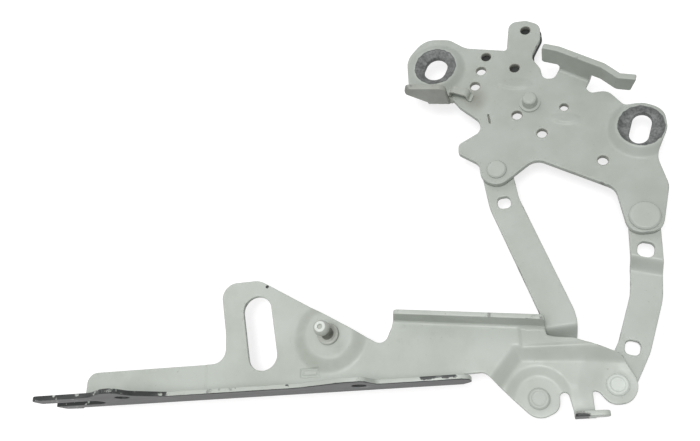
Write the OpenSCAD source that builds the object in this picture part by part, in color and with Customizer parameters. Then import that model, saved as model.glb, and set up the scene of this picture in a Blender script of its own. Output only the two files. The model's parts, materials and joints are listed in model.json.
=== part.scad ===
// Four-link bonnet hinge of pressed steel, lying on its back with the pivots upright.
// Origin: mouth of the front body bolt hole. X runs along the bonnet flange, Z along the pivots.

/* [Linkage] */
// Front pivot of the bracket, X from the front body bolt
front_pivot_x = 35; // [31:0.5:39]
// Front pivot of the bracket, Y from the front body bolt
front_pivot_y = -84.5; // [-90:0.5:-80]
// Rear pivot of the bracket, X from the front body bolt
rear_pivot_x = 120.5; // [116:0.5:124]
// Rear pivot of the bracket, Y from the front body bolt
rear_pivot_y = -128; // [-134:0.5:-123]
// Front link, pivot to pivot
front_link_len = 148.5; // [140:0.5:156]
// Rear link, pivot to pivot
rear_link_len = 103.5; // [97:0.5:110]
// Distance between the arm's two pivots along the bonnet flange
arm_pivot_dx = 45; // [42:0.5:50]
// Height of the arm's rear pivot over its front one
arm_pivot_dy = 5.5; // [2:0.5:9]

/* [Body bracket] */
// Sheet thickness of the body bracket
plate_t = 4; // [3:0.1:5]
// Rear body bolt, X from the front body bolt
rear_bolt_x = 127.5; // [125:0.5:131]
// Rear body bolt, Y from the front body bolt
rear_bolt_y = -68; // [-72:0.5:-66]
// Diameter of the front body bolt hole
bolt_hole_d = 15.5; // [12:0.5:17]
// Diameter of the bare bolt seat
seat_d = 28.6; // [26:0.2:32]
// Diameter of a boss where it leaves the plate
boss_base_d = 41; // [37:0.5:43]
// Height of a bolt seat's rim over the plate
boss_h = 5; // [3.5:0.5:7]
// Depth of the dished bolt seat under its rim
seat_dish = 3.4; // [2:0.1:3.8]
// Width of the rear bolt hole
slot_w = 12; // [11:0.5:12.5]
// Extra length of the rear bolt hole, for adjustment
slot_play = 10.5; // [8:0.5:11]
// Height of the strike flange over the plate
strike_h = 19.5; // [15:0.5:24]
// Clear height under the wings of the strike flange
strike_gap = 7; // [5:0.5:9]
// Height of the tab flange over the plate
tab_h = 20; // [16:0.5:24]
// Thickness of the doubler behind the bracket
doubler_t = 2; // [1:0.1:3]
// Diameter of the small punched holes
punch_d = 6.6; // [5:0.1:8]

/* [Links] */
// Sheet thickness of both links
link_t = 4; // [3:0.1:5]
// Width of the front link
front_link_w = 19.8; // [17:0.2:22]
// Width of the rear link
rear_link_w = 18.6; // [17:0.2:21]
// How far the front link's knee stands off the line of its pivots
front_knee = 22; // [15:0.5:24]
// How far the rear link's knee stands off the line of its pivots
rear_knee = 8.5; // [5:0.5:12]
// Side of the square tooling hole of the front link
front_tool_hole = 8.4; // [6:0.2:10]
// Side of the square tooling holes of the rear link
rear_tool_hole = 9.8; // [7:0.2:11]

/* [Bonnet arm] */
// Sheet thickness of the arm
arm_t = 3; // [2.5:0.1:4]
// Depth of the arm's step down to its pivots
arm_drop = 9; // [7:0.5:11]
// Length of the bonnet flange
flange_len = 273; // [262:1:282]
// Width of the bonnet flange between its pads
flange_w = 22; // [18:0.5:26]
// Outward lean of the bonnet flange from square
flange_lean = 2; // [0:0.5:6]
// Diameter of the bonnet bolt holes
bonnet_hole_d = 9; // [7:0.5:11]
// Width of the open slot at the tongue's end
tongue_slot_w = 13; // [10:0.5:15]
// Height of the arm's upper flange
upper_flange_h = 16; // [9:0.5:18]
// Width of the window in the web
window_w = 19.4; // [15:0.2:22]
// Centre distance of the window's round ends
window_len = 31; // [25:0.5:36]
// Height of the pad under the ball stud
dome_h = 4; // [2.5:0.5:6]
// Diameter of that pad where it leaves the web
dome_base_d = 46; // [42:0.5:50]
// Height of the stop lip
stop_h = 16; // [11:0.5:20]

/* [Pivots] */
// Diameter of the pivot rivets' shanks
shank_d = 8; // [6.5:0.1:9]
// Radial running clearance of the shanks in their bushes
run_fit = 0.05; // [0.02:0.01:0.1]
// Wall of the pivot bushes
bush_wall = 1.4; // [1:0.1:2]
// Radial room round the rivet at the open pivot
open_room = 2.1; // [2:0.1:2.6]
// Thickness of the thrust washers
washer_t = 0.8; // [0.5:0.1:1.5]
// Axial play of each pivot
axial_play = 0.1; // [0.05:0.01:0.3]
// Diameter of the small rivet heads
head_d = 12.8; // [11.5:0.2:14]
// Diameter of the big rear bracket rivet head
big_head_d = 18.8; // [17:0.2:21]
// Height of the rivet heads
head_h = 2.2; // [1.5:0.1:3]
// Height of the peened rivet tails
tail_h = 3; // [2:0.1:4]

/* [Ball stud] */
// Diameter of the ball
ball_d = 10; // [8:0.5:13]
// Height of the ball's centre over its pad
ball_height = 16; // [13:0.5:18]
// Diameter of the stud's collar
stud_collar_d = 14; // [12:0.5:17]
// Diameter of the stud's neck and shank
stud_neck_d = 6.4; // [5:0.2:7.4]

/* [Hidden] */

$fn = 48;
// Room of a riveted or pressed piece in its hole
seat_fit = 0.02;
// Extra reach of a cut past a face
cut = 1;
// Reach of the half spaces that form the pressed steps
far = 400;
// Inside bend radius of the folded flanges
bend_r = 2.5;
// Overlap of pieces that are one sheet
root = 1;
// How far a sheet's edge runs past each end of its fold
fold_relief = 0.4;
// How far a fold's faces lie inside the sheet's
fold_inset = 0.02;
// Steps of each rounded corner
arc_steps = 6;
// Horizontal run of a pressed step
step_run = 6;
// Wall thickness of the strike flange
strike_t = 3;

// Levels along the pivots, from the mouth of the bolt holes
seat_rim = seat_dish;
plate_top = seat_rim - boss_h;
plate_low = plate_top - plate_t;
web_low = plate_low;
web_top = web_low + arm_t;
pad_top = web_top - arm_drop;
pad_low = pad_top - arm_t;
upper_link_top = plate_low - washer_t - axial_play;
lower_link_top = pad_low - washer_t - axial_play;
link_drop = upper_link_top - lower_link_top;

front_pivot = [front_pivot_x, front_pivot_y];
rear_pivot = [rear_pivot_x, rear_pivot_y];
rear_bolt = [rear_bolt_x, rear_bolt_y];
arm_span = [arm_pivot_dx, arm_pivot_dy];

// The front link's vector closes the four-bar: |f| is its length and |f + w| the rear link's
closure = arm_span - (rear_pivot - front_pivot);
along = (pow(rear_link_len, 2) - pow(front_link_len, 2) - closure * closure) / (2 * norm(closure));
across = sqrt(pow(front_link_len, 2) - along * along);
unit = closure / norm(closure);
front_vec = along * unit + across * [-unit.y, unit.x];
rear_vec = front_vec + closure;
arm_front = front_pivot + front_vec;
front_turn = atan2(front_vec.y, front_vec.x);
rear_turn = atan2(rear_vec.y, rear_vec.x);

paint = [0.70, 0.73, 0.69];
bare = [0.45, 0.46, 0.46];
bronze = [0.55, 0.42, 0.25];

// Rounded outlines: every corner is [x, y, radius], and each round is limited by its sides
function dir(a, b) = (b - a) / norm(b - a);
function xy(c) = [c.x, c.y];
function corner_arc(a, c, b) =
    let (p = xy(c), u = dir(p, xy(a)), v = dir(p, xy(b)), half = acos(max(-1, min(1, u * v))) / 2)
    let (back = min(c.z / tan(half), 0.49 * norm(xy(a) - p), 0.49 * norm(xy(b) - p)))
    let (mid = p + (u + v) / norm(u + v) * back / cos(half))
    let (from = p + u * back - mid, to = p + v * back - mid)
    let (start = atan2(from.y, from.x), sweep = atan2(from.x * to.y - from.y * to.x, from * to))
    let (r = norm(from))
    [for (k = [0:arc_steps]) let (turn = start + sweep * k / arc_steps) mid + r * [cos(turn), sin(turn)]];
function outline(c) =
    let (n = len(c))
    [for (i = [0:n - 1])
        each (c[i].z <= 0 ? [xy(c[i])] : corner_arc(c[(i + n - 1) % n], c[i], c[(i + 1) % n]))];

// Both sides of a band along a path, as corners
function left_of(p, i) =
    let (a = dir(p[max(i - 1, 0)], p[max(i, 1)]), b = dir(p[min(i, len(p) - 2)], p[min(i + 1, len(p) - 1)]))
    let (m = (a + b) / norm(a + b))
    [-m.y, m.x] / (m * a);
function band(path, left, right, radius) = concat(
    [for (i = [0:len(path) - 1]) let (q = path[i] + left * left_of(path, i)) [q.x, q.y, radius[i]]],
    [for (i = [len(path) - 1:-1:0]) let (q = path[i] - right * left_of(path, i)) [q.x, q.y, radius[i]]]);

module prism(corners, low, high) {
    translate([0, 0, low])
        linear_extrude(high - low) polygon(outline(corners));
}

module upright(at, r, low, high) {
    translate([at.x, at.y, low]) cylinder(r = r, h = high - low);
}

// A slot with round ends through a sheet; its centres lie apart along Y, turned by lean
module slot(at, lean, width, apart, low, high) {
    translate([at.x, at.y, 0]) rotate(lean) {
        for (end = [-1, 1])
            upright([0, end * apart / 2], width / 2, low - cut, high + cut);
        translate([-width / 2, -apart / 2, low - cut]) cube([width, apart, high - low + 2 * cut]);
    }
}

// Everything below a surface that steps down across a line; turn points to its low side
module below_step(at, turn, high, low, shift) {
    translate([at.x, at.y, 0]) rotate([90, 0, turn])
        linear_extrude(2 * far, center = true)
            polygon([[-far, -far], [-far, high], [shift, high],
                [shift + step_run, low], [far, low], [far, -far]]);
}

// How far the lower face of a stepped sheet lies behind the upper one
function step_shift(t, drop) = -t * tan(atan2(drop, step_run) / 2);

// A quarter bend about a point over the sheet's edge
function bend(rise, r, from, to) =
    [for (k = [0:arc_steps]) let (turn = from + (to - from) * k / arc_steps)
        [r * cos(turn), rise + r * sin(turn)]];

// A flange folded up along an edge, from the sheet's low face; the sheet lies left of the edge,
// and a tongue inside it joins the two
module fold_up(a, b, low, t, height) {
    rise = bend_r + t;
    outer = rise - fold_inset;
    inner = bend_r + fold_inset;
    translate([a.x, a.y, low]) rotate([0, 0, atan2(b.y - a.y, b.x - a.x)])
        rotate([90, 0, 90]) linear_extrude(norm(b - a))
            polygon(concat([[root, fold_inset]], bend(rise, outer, 270, 180),
                [[-outer, height], [-inner, height]], bend(rise, inner, 180, 270), [[root, t - fold_inset]]));
}

// The sheet's corner just past the end of a fold that runs from b to a
function past(a, b) = let (q = a + fold_relief * dir(b, a)) [q.x, q.y, 0];

// A rivet with a chamfered head on top and a peened tail below
module rivet(at, top, low, top_d, low_d) {
    chamfer = head_h * 0.3;
    translate([at.x, at.y, 0]) {
        translate([0, 0, low - tail_h]) cylinder(d1 = low_d - 2 * chamfer, d2 = low_d, h = tail_h);
        translate([0, 0, low - cut]) cylinder(d = shank_d, h = top - low + 2 * cut);
        translate([0, 0, top]) cylinder(d = top_d, h = head_h - chamfer);
        translate([0, 0, top + head_h - chamfer]) cylinder(d1 = top_d, d2 = top_d - 2 * chamfer, h = chamfer);
    }
}

module ring(at, low, high, inner, outer) {
    difference() {
        upright(at, outer, low, high);
        upright(at, inner, low - cut, high + cut);
    }
}

// Body bracket

// The folds' edges: tab flange at the left, strike flange at the upper right
tab_from = [-6, -21];
tab_to = [8.5, -23.5];
tab_wing = 14;
tab_wing_tip = 7;
strike_from = [84, -16.5];
strike_to = [100.5, -28];
relief_d = 11;
relief_at = [77.4, -14.5];

bracket_corners = [
    past(tab_from, tab_to), [-20.3, -17, 12], [-20.5, 13, 16], [-7, 28, 15], [11, 24.5, 12],
    [22, 15, 14], [50.3, 7.5, 2], [54, 31, 6], [66, 30.5, 7], [75, 25, 7], [74, 13, 10],
    [66, -1, 7], [70.5, -14, 3],
    past(strike_from, strike_to), past(strike_to, strike_from),
    [98, -33, 2.5], [101.5, -38, 3], rear_boss_corner(-15.5, 31, 8), rear_boss_corner(-6.5, 18.6, 8),
    rear_boss_corner(5, 17.4, 10), rear_boss_corner(15.9, 11.2, 12), rear_boss_corner(15.3, -3.6, 10),
    rear_boss_corner(6.6, -20, 16), rear_lobe_corner(17.5, 19, 14), rear_lobe_corner(9, -10.5, 9.5),
    rear_lobe_corner(-10.5, -10.5, 9.5), rear_lobe_corner(-14, 21, 9), front_lobe_corner(25.5, 5, 10),
    front_lobe_corner(0.7, -12.2, 10.6), front_lobe_corner(-10.6, -6.2, 10.6), front_lobe_corner(-11, 6, 6),
    front_lobe_corner(-24, 15.5, 3), front_lobe_corner(-23.5, 22.5, 4), front_lobe_corner(-7.5, 30.5, 6),
    front_lobe_corner(-8.3, 39, 7), [14.5, -33, 4], past(tab_to, tab_from)];

function rear_boss_corner(x, y, r) = [rear_bolt.x + x, rear_bolt.y + y, r];
function rear_lobe_corner(x, y, r) = [rear_pivot.x + x, rear_pivot.y + y, r];
function front_lobe_corner(x, y, r) = [front_pivot.x + x, front_pivot.y + y, r];

punch_open = [[31.3, -6.2], [26.2, -17.8], [52.1, -45.5], [66.7, -61.7], [83, -44.3], [101.8, -86.9]];
punch_backed = [[35.7, 4.8], [54.2, -7.9], [64.6, 22]];
guide_at = [61.3, -38.1];
guide_shank_d = 6;
// Flat ledge, on the diameter, between a dished seat and its hole
seat_ledge = 2;
// Turn of the rear bolt hole from Y
slot_lean = -20;

// A conical boss pressed up out of the plate, and the hollow behind it
module boss(at, grow = 0) {
    translate([at.x, at.y, plate_top])
        cylinder(d1 = boss_base_d + 2 * grow, d2 = seat_d + 2 * grow, h = boss_h);
}

module boss_hollow(at) {
    draft = (boss_base_d - seat_d) / 2;
    behind = plate_t * tan(atan2(boss_h, draft) / 2);
    mouth = boss_base_d - 2 * behind;
    depth = boss_h - seat_dish;
    translate([at.x, at.y, plate_low])
        cylinder(d1 = mouth, d2 = mouth - 2 * draft * depth / boss_h, h = depth);
}

// The dished seat in a boss, down to the edge of its bolt hole
module seat_cone(at, mouth) {
    translate([at.x, at.y, 0]) cylinder(d1 = mouth, d2 = seat_d, h = seat_rim);
    upright(at, seat_d / 2, seat_rim, seat_rim + cut);
}

// The strike flange's path, on the side that faces the plate
strike_path = [[72.5, -9], [82, -13.2], [102, -27.2], [107.5, -31], [116, -40.5], [125.8, -43.4]];

module strike_flange() {
    prism(band(strike_path, strike_t, 0, [0, 8, 6, 6, 6, 0]), plate_top + strike_gap, plate_top + strike_h);
    fold_up(strike_to, strike_from, plate_low, strike_t, plate_t + strike_gap + cut);
}

// The tab flange, with a free wing past the left end of its fold
module tab_flange() {
    top = plate_t + tab_h;
    fold = bend_r + plate_t;
    fold_up(tab_from, tab_to, plate_low, plate_t, top);
    translate([tab_from.x, tab_from.y, plate_low])
        rotate([0, 0, atan2(tab_to.y - tab_from.y, tab_to.x - tab_from.x)])
            translate([0, -bend_r, 0]) rotate([90, 0, 0]) linear_extrude(plate_t)
                polygon(outline([[root, fold, 0], [root, top, 0], [-tab_wing, top, 3],
                    [-tab_wing, top - tab_wing_tip, 3], [0, fold, 0]]));
}

module bracket_plate() {
    color(paint) difference() {
        union() {
            intersection() {
                prism(bracket_corners, plate_low - cut, seat_rim + cut);
                difference() {
                    union() {
                        prism(bracket_corners, plate_low, plate_top);
                        boss([0, 0]);
                        boss(rear_bolt);
                    }
                    boss_hollow([0, 0]);
                    boss_hollow(rear_bolt);
                }
            }
            tab_flange();
            strike_flange();
        }
        seat_cone([0, 0], bolt_hole_d + seat_ledge);
        seat_cone(rear_bolt, slot_w + slot_play + seat_ledge);
        upright([0, 0], bolt_hole_d / 2, plate_low - cut, cut);
        slot(rear_bolt, slot_lean, slot_w, slot_play, plate_low, 0);
        upright(relief_at, relief_d / 2, plate_low - cut, plate_top + cut);
        for (at = concat(punch_open, punch_backed))
            upright(at, punch_d / 2, plate_low - cut, plate_top + cut);
        upright(guide_at, guide_shank_d / 2 + seat_fit, plate_low - cut, plate_top + cut);
        for (at = [front_pivot, rear_pivot])
            upright(at, shank_d / 2 + seat_fit, plate_low - cut, plate_top + cut);
    }
}

doubler_corners = [[29, 12.5, 3], [51, 6.8, 3], [56, 29, 5], [75.5, 24.5, 6], [75.3, 14, 8], [68.5, 2, 6],
    [67, -15, 4], [42, -14, 4]];

module doubler_plate() {
    color(paint) prism(doubler_corners, plate_low - doubler_t, plate_low);
}

guide_head_d = 10;
guide_h = 8.2;
guide_collar_d = 13.6;
guide_collar_t = 1.6;
guide_tail_h = 1.5;

module guide_rivet() {
    low = plate_low - guide_tail_h;
    high = plate_top + guide_h;
    color(paint) {
        upright(guide_at, guide_shank_d / 2, low, high);
        upright(guide_at, guide_head_d / 2, plate_top + guide_collar_t, high);
        upright(guide_at, guide_head_d / 2, low, plate_low);
    }
}

module guide_collar() {
    color(paint) ring(guide_at, plate_top, plate_top + guide_collar_t,
        guide_shank_d / 2 + seat_fit, guide_collar_d / 2);
}

loop_at = [15.6, -24.2];
loop_turn = -25;
loop_r = 7.4;
loop_t = 1.4;
loop_w = 5.6;
loop_foot = 1.6;
loop_clear = 0.3;

// A bent strip that stands on the plate as a loop for the harness, its foot trimmed clear of the boss
module harness_loop() {
    color(paint) difference() {
        translate([loop_at.x, loop_at.y, plate_top]) rotate([90, 0, loop_turn])
            linear_extrude(loop_w, center = true) {
                intersection() {
                    difference() {
                        circle(loop_r);
                        circle(loop_r - loop_t);
                    }
                    translate([-loop_r, 0]) square([2 * loop_r, loop_r]);
                }
                for (side = [-1, 1])
                    translate([side * (loop_r + loop_foot / 2 - loop_t / 2), loop_t / 2])
                        square([loop_foot + loop_t, loop_t], center = true);
            }
        boss([0, 0], loop_clear);
    }
}

module front_bracket_rivet() {
    color(paint) rivet(front_pivot, plate_top, upper_link_top - link_t - axial_play, head_d, head_d);
}

module rear_bracket_rivet() {
    color(paint) rivet(rear_pivot, plate_top, upper_link_top - link_t - axial_play, big_head_d, big_head_d);
}

washer_d = 17;

module front_bracket_washer() {
    color(bare) ring(front_pivot, plate_low - washer_t, plate_low, shank_d / 2 + seat_fit, washer_d / 2);
}

module rear_bracket_washer() {
    color(bare) ring(rear_pivot, plate_low - washer_t, plate_low, shank_d / 2 + seat_fit, washer_d / 2);
}

// Links, each along X from its bracket pivot and turned into place

bush_r = shank_d / 2 + run_fit + bush_wall;
// Where the front link leaves its upper end, and where its knee and step lie before its lower end
front_upper_run = 22;
front_upper_rise = 1;
front_knee_back = 40;
front_step_back = 34;
// The same for the rear link, with its step after its upper end
rear_upper_run = 33;
rear_knee_run = 46;
rear_lower_back = 25;
rear_step_start = 25;
rear_upper_hole = [19.5, 3.8];
rear_lower_hole = [rear_link_len - 24.5, 5.2];

front_path = [[0, 0], [front_upper_run, front_upper_rise],
    [front_link_len - front_knee_back, front_knee], [front_link_len, 0]];
rear_path = [[0, 0], [rear_upper_run, rear_knee * 0.8], [rear_knee_run, rear_knee],
    [rear_link_len - rear_lower_back, rear_knee * 0.7], [rear_link_len, 0]];

function with_ends(path, reach) =
    let (n = len(path))
    [for (i = [0:n - 1]) i == 0 ? path[0] - reach * dir(path[0], path[1])
        : i == n - 1 ? path[n - 1] + reach * dir(path[n - 2], path[n - 1]) : path[i]];

// A stepped strip along a path with round ends; the step starts at step_x and falls along X
module link_strip(path, width, radius, step_x) {
    half = width / 2;
    shift = step_shift(link_t, link_drop);
    intersection() {
        prism(band(with_ends(path, half), half, half, radius),
            lower_link_top - link_t - cut, upper_link_top + cut);
        difference() {
            below_step([step_x, 0], 0, upper_link_top, lower_link_top, 0);
            below_step([step_x, 0], 0, upper_link_top - link_t, lower_link_top - link_t, shift);
        }
    }
}

module tool_hole(at, side, low, high) {
    half = side / 2;
    corner = side * 0.3;
    translate([at.x, at.y, 0])
        prism([[-half, -half, corner], [half, -half, corner], [half, half, corner], [-half, half, corner]],
            low, high);
}

module front_link() {
    half = front_link_w / 2;
    low = lower_link_top - link_t - cut;
    color(paint) translate(front_pivot) rotate(front_turn) difference() {
        link_strip(front_path, front_link_w, [half, 30, 25, half],
            front_link_len - front_step_back - step_run);
        upright([0, 0], bush_r + seat_fit, low, upper_link_top + cut);
        upright([front_link_len, 0], bush_r + seat_fit, low, upper_link_top + cut);
        tool_hole(front_path[1], front_tool_hole, low, upper_link_top + cut);
    }
}

module rear_link() {
    half = rear_link_w / 2;
    low = lower_link_top - link_t - cut;
    color(paint) translate(rear_pivot) rotate(rear_turn) difference() {
        link_strip(rear_path, rear_link_w, [half, 30, 30, 30, half], rear_step_start);
        upright([0, 0], shank_d / 2 + open_room, low, upper_link_top + cut);
        upright([rear_link_len, 0], bush_r + seat_fit, low, upper_link_top + cut);
        for (at = [rear_upper_hole, rear_lower_hole])
            tool_hole(at, rear_tool_hole, low, upper_link_top + cut);
    }
}

module pivot_bush(at, top) {
    color(bronze) ring(at, top - link_t, top, shank_d / 2 + run_fit, bush_r);
}

module front_upper_bush() {
    pivot_bush(front_pivot, upper_link_top);
}

module front_lower_bush() {
    pivot_bush(arm_front, lower_link_top);
}

module rear_lower_bush() {
    pivot_bush(arm_front + arm_span, lower_link_top);
}

// Bonnet arm, drawn about its front pivot

web_edge_y = 14.6;
flange_right = -37;
flange_left = flange_right - flange_len;
web_left = flange_left + 14;
flange_outer = bend_r + arm_t;
upper_from = [-82.5, 50.3];
upper_to = [7.7, 39.4];
stop_edge_y = -7.5;
stop_left = 18.8;
stop_right = 30.6;
stop_from = [stop_left, stop_edge_y];
stop_to = [stop_right, stop_edge_y];

function rear_eye_corner(x, y, r) = [arm_span.x + x, arm_span.y + y, r];

arm_corners = [
    [web_left, web_edge_y, 0], [web_left, 32.6, 7], [-195.5, 32.6, 9], [-196.5, 52, 40], [-202, 87, 10],
    [-174, 87.3, 14], [-90.3, 36.1, 5.5], [-85, 47.6, 1.5], past(upper_from, upper_to),
    past(upper_to, upper_from), [8.5, 36, 1.5], [13, 34.6, 4], [24, 33.2, 10], rear_eye_corner(4.5, 17, 7),
    rear_eye_corner(12.6, -0.8, 10.9), rear_eye_corner(6.4, -10.75, 10.9),
    rear_eye_corner(-5.3, -11, 10.9), rear_eye_corner(-10.6, -3.4, 2.5),
    [stop_right, 3.3, 2.5], past(stop_to, stop_from), past(stop_from, stop_to), [17, 3, 2.8],
    [12.2, 3, 2.5], [11.5, -7.1, 11.2], [-2.2, -12.85, 11.2], [-30, web_edge_y, 6],
    [flange_right, web_edge_y, 0]];

// Lines across which the arm steps down to its pivots: one over them, one at their left
upper_step_at = [-8, 30.5];
upper_step_turn = -94;
side_step_at = [-18.5, 22];
side_step_turn = -40;

dome_at = [-124.9, 45.2];
dome_top_d = 24;
window_at = [-172.5, 51];
window_lean = 9;

module below_arm(high, low, shift) {
    below_step(upper_step_at, upper_step_turn, high, low, shift);
    below_step(side_step_at, side_step_turn, high, low, shift);
}

module dome(low, spread) {
    translate([dome_at.x, dome_at.y, low])
        cylinder(d1 = dome_base_d - 2 * spread, d2 = dome_top_d - 2 * spread, h = dome_h);
}

module arm_web() {
    draft = (dome_base_d - dome_top_d) / 2;
    behind = arm_t * tan(atan2(dome_h, draft) / 2);
    intersection() {
        prism(arm_corners, pad_low - cut, web_top + dome_h + cut);
        difference() {
            union() {
                below_arm(web_top, pad_top, 0);
                dome(web_top, 0);
            }
            below_arm(web_low, pad_low, step_shift(arm_t, arm_drop));
            dome(web_low, behind);
        }
    }
}

// Corners of the bonnet flange in its own plane: X along it, Y up from the end of its bend
bump_at = -102;
pad_at = -249;
flange_corners = [
    [flange_right, -root, 0], [flange_right - 0.5, flange_w - 4, 8], [bump_at + 11, flange_w - 4, 4],
    [bump_at + 5, flange_w + 9, 6], [bump_at - 7, flange_w + 8.5, 14], [bump_at - 36, flange_w, 20],
    [pad_at + 26, flange_w, 8], [pad_at + 7, flange_w + 12, 8], [pad_at + 2, flange_w + 25, 5],
    [pad_at - 6, flange_w + 24, 6], [pad_at - 19, flange_w + 14, 10], [flange_left, flange_w + 14, 5],
    [flange_left + 1, flange_w - 6, 0], [flange_left + 1.5, 1.2, 4],
    [web_left, -root, 0]];
bonnet_holes = [[bump_at, 17], [pad_at - 1, 28]];
slot_end = flange_left + 34;

module bonnet_flange() {
    translate([0, web_edge_y, web_low + flange_outer]) {
        rotate([flange_lean, 0, 0]) translate([0, -bend_r, 0]) rotate([90, 0, 0]) difference() {
            linear_extrude(arm_t) polygon(outline(flange_corners));
            for (at = bonnet_holes)
                upright(at, bonnet_hole_d / 2, -cut, arm_t + cut);
            upright([slot_end, flange_w - 6], tongue_slot_w / 2, -cut, arm_t + cut);
            translate([slot_end - far, flange_w - 6 - tongue_slot_w / 2, -cut])
                cube([far, tongue_slot_w, arm_t + 2 * cut]);
        }
        translate([web_left, 0, 0]) rotate([90, 0, 90]) linear_extrude(flange_right - web_left)
            intersection() {
                difference() {
                    circle(flange_outer);
                    circle(bend_r);
                }
                polygon([[0, 0], [0, -2 * flange_outer], [-2 * flange_outer, -2 * flange_outer],
                    2 * flange_outer * [-cos(flange_lean), -sin(flange_lean)]]);
            }
    }
}

stop_finger = 7.5;
stop_finger_h = 8;

module stop_lip() {
    fold_up(stop_from, stop_to, pad_low, arm_t, stop_h);
    translate([stop_right - root, stop_edge_y - flange_outer, pad_low + stop_h - stop_finger_h])
        cube([stop_finger + root, arm_t, stop_finger_h]);
}

module arm_plate() {
    color(paint) translate(arm_front) difference() {
        union() {
            arm_web();
            bonnet_flange();
            fold_up(upper_to, upper_from, web_low, arm_t, arm_t + upper_flange_h);
            stop_lip();
        }
        for (at = [[0, 0], arm_span])
            upright(at, shank_d / 2 + seat_fit, pad_low - cut, pad_top + cut);
        upright(dome_at, stud_neck_d / 2 + seat_fit, web_low - cut, web_top + dome_h + cut);
        slot(window_at, window_lean, window_w, window_len, web_low, web_top);
    }
}

module front_arm_rivet() {
    color(paint) rivet(arm_front, pad_top, lower_link_top - link_t - axial_play, head_d, head_d);
}

module rear_arm_rivet() {
    color(paint) rivet(arm_front + arm_span, pad_top, lower_link_top - link_t - axial_play, head_d, head_d);
}

module front_arm_washer() {
    color(bare) ring(arm_front, pad_low - washer_t, pad_low, shank_d / 2 + seat_fit, washer_d / 2);
}

module rear_arm_washer() {
    color(bare) ring(arm_front + arm_span, pad_low - washer_t, pad_low, shank_d / 2 + seat_fit, washer_d / 2);
}

stud_pad = web_top + dome_h;
stud_under = web_low + dome_h;
stud_collar_h = 2.4;
stud_washer_t = 1.5;
stud_washer_d = 12;
stud_tail_h = 1.8;
stud_tail_d = 9;
// Flat left by turning on the top of the ball
ball_flat_d = 3;

module ball_stud() {
    tail_top = stud_under - stud_washer_t;
    middle = stud_pad + ball_height;
    color(bare) translate(arm_front + dome_at) {
        upright([0, 0], stud_neck_d / 2, tail_top - stud_tail_h, middle);
        upright([0, 0], stud_collar_d / 2, stud_pad, stud_pad + stud_collar_h);
        upright([0, 0], stud_tail_d / 2, tail_top - stud_tail_h, tail_top);
        difference() {
            translate([0, 0, middle]) sphere(d = ball_d);
            upright([0, 0], ball_d, middle + sqrt(pow(ball_d, 2) - pow(ball_flat_d, 2)) / 2, middle + ball_d);
        }
    }
}

module stud_washer() {
    color(bare) ring(arm_front + dome_at, stud_under - stud_washer_t, stud_under,
        stud_neck_d / 2 + seat_fit, stud_washer_d / 2);
}

bracket_plate();
doubler_plate();
guide_rivet();
guide_collar();
harness_loop();
front_bracket_rivet();
rear_bracket_rivet();
front_bracket_washer();
rear_bracket_washer();
front_link();
front_upper_bush();
front_lower_bush();
rear_link();
rear_lower_bush();
arm_plate();
front_arm_rivet();
rear_arm_rivet();
front_arm_washer();
rear_arm_washer();
ball_stud();
stud_washer();
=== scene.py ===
import json
import math

import bpy
import numpy as np
from mathutils import Matrix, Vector
from mathutils.geometry import delaunay_2d_cdt


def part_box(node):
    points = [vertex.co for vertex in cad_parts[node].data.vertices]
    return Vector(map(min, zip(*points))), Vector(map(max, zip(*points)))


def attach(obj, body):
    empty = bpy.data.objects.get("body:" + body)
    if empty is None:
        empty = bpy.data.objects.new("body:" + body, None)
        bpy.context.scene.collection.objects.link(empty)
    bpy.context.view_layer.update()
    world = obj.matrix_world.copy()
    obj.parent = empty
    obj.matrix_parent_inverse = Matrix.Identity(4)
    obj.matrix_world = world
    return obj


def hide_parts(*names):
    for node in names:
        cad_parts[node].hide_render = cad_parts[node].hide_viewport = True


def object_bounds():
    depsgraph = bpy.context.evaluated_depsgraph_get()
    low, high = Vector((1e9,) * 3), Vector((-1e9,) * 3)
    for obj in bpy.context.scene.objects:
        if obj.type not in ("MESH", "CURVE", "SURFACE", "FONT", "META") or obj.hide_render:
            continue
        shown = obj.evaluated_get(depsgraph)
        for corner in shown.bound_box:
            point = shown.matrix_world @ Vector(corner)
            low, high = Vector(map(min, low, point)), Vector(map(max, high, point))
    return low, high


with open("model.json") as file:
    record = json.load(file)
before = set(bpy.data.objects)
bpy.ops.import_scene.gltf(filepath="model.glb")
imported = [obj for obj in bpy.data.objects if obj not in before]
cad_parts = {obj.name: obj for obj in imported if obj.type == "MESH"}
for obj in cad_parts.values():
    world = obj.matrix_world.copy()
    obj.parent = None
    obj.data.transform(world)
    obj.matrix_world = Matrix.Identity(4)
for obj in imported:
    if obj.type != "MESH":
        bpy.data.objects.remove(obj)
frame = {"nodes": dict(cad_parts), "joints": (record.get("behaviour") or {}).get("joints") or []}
cadBox = [list(corner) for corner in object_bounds()]
mm = 0.001
print("frame loaded")

# Places that the frame gives, in millimetres
jointAt = {joint["name"]: np.array(joint["pos_m"]) / mm for joint in frame["joints"]}
frontPivot = jointAt["front_link_pivot"][:2]
armFront = jointAt["bonnet_arm_pivot"][:2]
armRear = jointAt["rear_link_pivot"][:2]


def lowHigh(node, axis=2):
    low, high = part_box(node)
    return low[axis] / mm, high[axis] / mm


def halfWide(node):
    west, east = lowHigh(node, 0)
    return (east - west) / 2


def middleOf(node):
    low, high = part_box(node)
    return np.array((low + high) / 2)[:2] / mm


rearPivot = middleOf("rear_bracket_rivet")
studAt = middleOf("ball_stud")
guideAt = middleOf("guide_rivet")
squareCorners = ((-1, -1), (1, -1), (1, 1), (-1, 1))


# Curves in the plane

def unit(vectors):
    return vectors / np.linalg.norm(vectors, axis=-1, keepdims=True)


def onCircle(angle):
    return np.stack([np.cos(angle), np.sin(angle)], 1)


def turnBy(degrees):
    # rows: the X and Y directions, turned anticlockwise
    c, s = math.cos(math.radians(degrees)), math.sin(math.radians(degrees))
    return np.array([[c, s], [-s, c]])


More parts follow.
